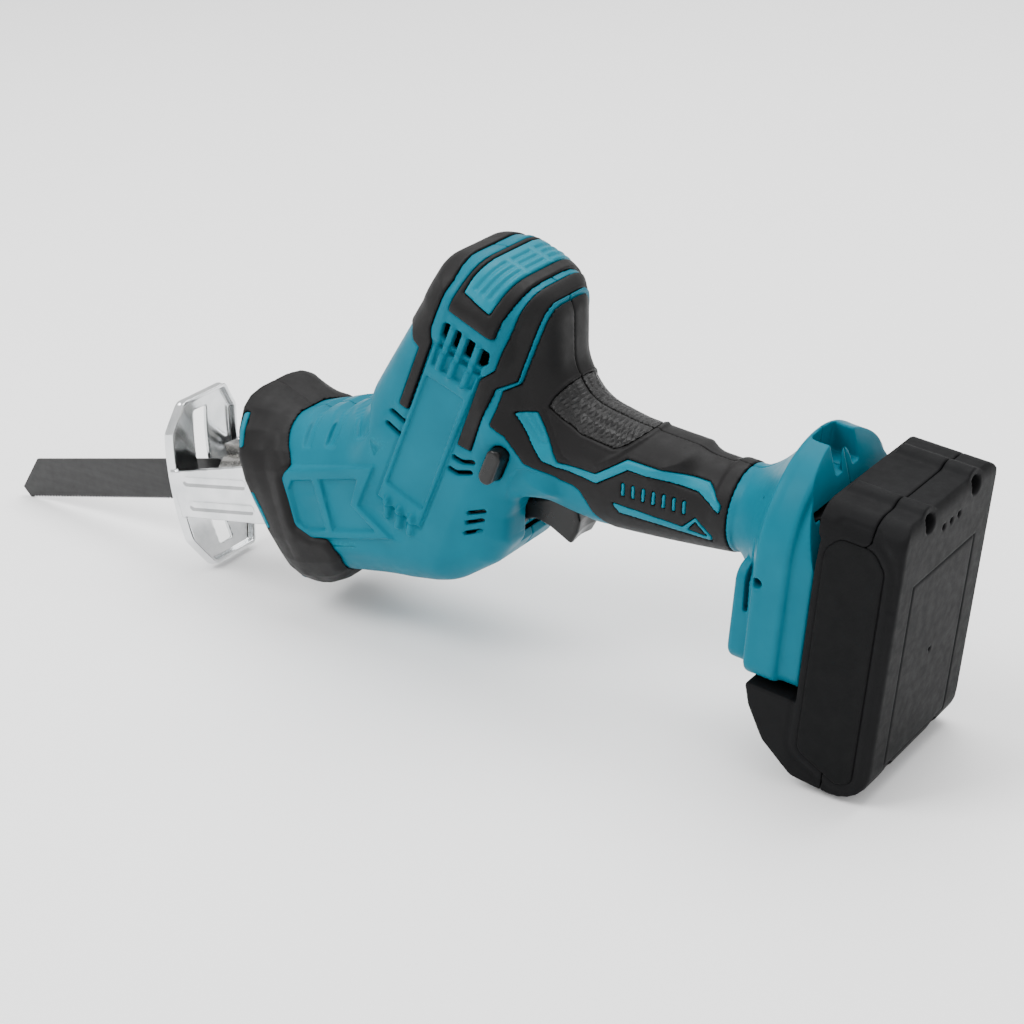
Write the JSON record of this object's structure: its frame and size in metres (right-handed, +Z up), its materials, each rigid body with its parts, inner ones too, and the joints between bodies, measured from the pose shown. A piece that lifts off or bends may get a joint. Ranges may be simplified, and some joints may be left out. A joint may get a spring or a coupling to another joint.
{
  "type": "reciprocating saw",
  "caption": "Cordless reciprocating saw with a crank-driven plunger and blade, a pivoting shoe, a lock-off trigger and a slide-off battery pack.",
  "frame": {"origin": "centre of the footprint, on the surface that the saw lies on: its battery's lower edge, its shoe and its blade tip touch it", "axes": "+X from the blade towards the battery pack, +Z up, +Y towards the saw's right side; the blade slopes 12.6 degrees nose down"},
  "size_m": [0.4727, 0.075, 0.1702],
  "materials": {
    "teal_shell": "fine satin moulded ABS, teal",
    "black_rubber": "matt thermoplastic rubber",
    "black_shell": "fine spark-eroded black ABS",
    "black_gloss": "smooth black acetal",
    "blade_coat": "black-coated tool steel",
    "zinc_sheet": "bright zinc-plated pressed steel",
    "machined_steel": "machined and ground steel",
    "cast_case": "die-cast aluminium",
    "bronze": "sintered bronze",
    "copper": "bare copper",
    "magnet": "dark ferrite",
    "board": "green lacquered circuit board",
    "cell_wrap": null,
    "screw_steel": "black-oxide steel"
  },
  "bodies": {
    "tool_body": {"housing_left": "teal_shell", "housing_right": "teal_shell", "grip_overmold_left": "black_rubber", "grip_overmold_right": "black_rubber", "nose_boot": "black_rubber", "boot_inserts": "teal_shell", "side_trim_left": "black_rubber", "side_trim_right": "black_rubber", "top_cover": "teal_shell", "top_trim": "black_rubber", "housing_screws": "screw_steel", "gear_case": "cast_case", "gear_cover": "cast_case", "plunger_bush_front": "bronze", "plunger_bush_rear": "bronze", "plunger_seal": "black_rubber", "gear_axle": "machined_steel", "shoe_pivots": "machined_steel", "motor_can": "machined_steel", "motor_magnets": "magnet", "motor_end_cap": "black_shell", "motor_bearings": "machined_steel", "brush_holders": "black_shell", "switch_body": "black_shell", "controller_board": "board", "terminal_block": "black_shell", "tool_terminals": "copper"},
    "crank": {"crank_gear": "machined_steel", "gear_bearing": "machined_steel", "crank_pin": "machined_steel", "crank_roller": "machined_steel"},
    "armature": {"armature_shaft": "machined_steel", "armature_core": "machined_steel", "commutator": "copper", "cooling_fan": "black_shell", "pinion": "machined_steel"},
    "plunger": {"plunger_rod": "machined_steel", "clamp_body": "machined_steel", "clamp_pin": "machined_steel", "blade": "blade_coat"},
    "collar": {"clamp_collar": "screw_steel"},
    "shoe": {"shoe": "zinc_sheet"},
    "trigger": {"trigger": "black_gloss"},
    "lock": {"lock_button": "black_gloss"},
    "battery": {"pack_cover": "black_shell", "pack_base": "black_shell", "pack_inlay_left": "black_shell", "pack_inlay_right": "black_shell", "battery_cells": "cell_wrap", "cell_holders": "black_shell", "pack_board": "board", "pack_contacts": "copper", "pack_screws": "screw_steel"},
    "latch": {"latch_button": "black_gloss"}
  },
  "joints": [
    {"name": "crank_turn", "type": "hinge", "parent": "tool_body", "child": "crank", "pos_m": [0.0187, 0, 0.06586], "axis": [0, 1, 0], "range_deg": [-90, 90]},
    {"name": "plunger_stroke", "type": "slide", "parent": "tool_body", "child": "plunger", "axis": [0.9759, 0, 0.2181], "range_m": [-0.01005, 0.01005]},
    {"name": "armature_spin", "type": "hinge", "parent": "tool_body", "child": "armature", "pos_m": [0.04396, 0, 0.12028], "axis": [0.421, 0, 0.907], "range_deg": [-460, 460]},
    {"name": "collar_twist", "type": "hinge", "parent": "plunger", "child": "collar", "pos_m": [-0.0906, 0, 0.04143], "axis": [0.9759, 0, 0.2181], "range_deg": [0, 50], "stiffness_Nm_per_rad": 0.03, "springref_deg": -11.46},
    {"name": "shoe_tilt", "type": "hinge", "parent": "tool_body", "child": "shoe", "pos_m": [-0.04766, 0, 0.05103], "axis": [0, 1, 0], "range_deg": [-10, 10]},
    {"name": "trigger_pull", "type": "slide", "parent": "tool_body", "child": "trigger", "axis": [0.411, 0, 0.9116], "range_m": [0, 0.006], "stiffness_N_per_m": 300, "springref_m": -0.003},
    {"name": "lock_slide", "type": "slide", "parent": "tool_body", "child": "lock", "axis": [0, 1, 0], "range_m": [0, 0.004]},
    {"name": "battery_slide", "type": "slide", "parent": "tool_body", "child": "battery", "axis": [-0.1167, 0, -0.9932], "range_m": [0, 0.07]},
    {"name": "latch_press", "type": "slide", "parent": "battery", "child": "latch", "axis": [0.9932, 0, -0.1167], "range_m": [0, 0.0035], "stiffness_N_per_m": 400, "springref_m": -0.002}
  ],
  "couplings": [
    {"joint": "plunger_stroke", "follows": "crank_turn", "m_per_rad": 0.0063662},
    {"joint": "armature_spin", "follows": "crank_turn", "ratio": -5}
  ]
}
